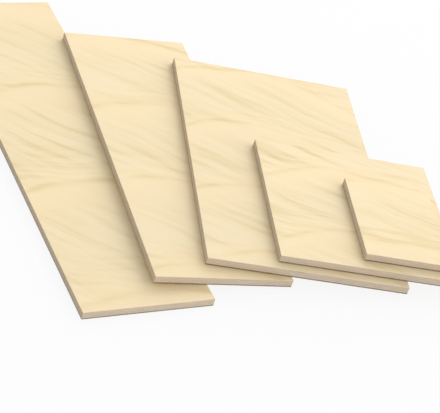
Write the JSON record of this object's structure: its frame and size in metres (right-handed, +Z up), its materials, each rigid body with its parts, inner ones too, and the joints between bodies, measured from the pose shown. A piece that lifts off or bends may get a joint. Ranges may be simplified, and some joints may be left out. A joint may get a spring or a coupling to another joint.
{
  "type": "stack of plywood sheets",
  "caption": "Fanned stack of pale cut-to-size plywood sheets of one thickness, each lying on the sheet below and stepping to the right, for use as raw board stock.",
  "frame": {"origin": "centre of the underside of the lowest sheet, on the floor", "axes": "+Z up, +Y along the length of the lowest sheet towards the back, +X to its right, the way the sheets step"},
  "size_m": [0.9671, 1.1647, 0.0704],
  "materials": {
    "plywood": "sanded, unfinished"
  },
  "bodies": {
    "root": {"sheet_1": "plywood", "sheet_2": "plywood", "sheet_3": "plywood", "sheet_4": "plywood", "sheet_5": "plywood"}
  },
  "joints": []
}
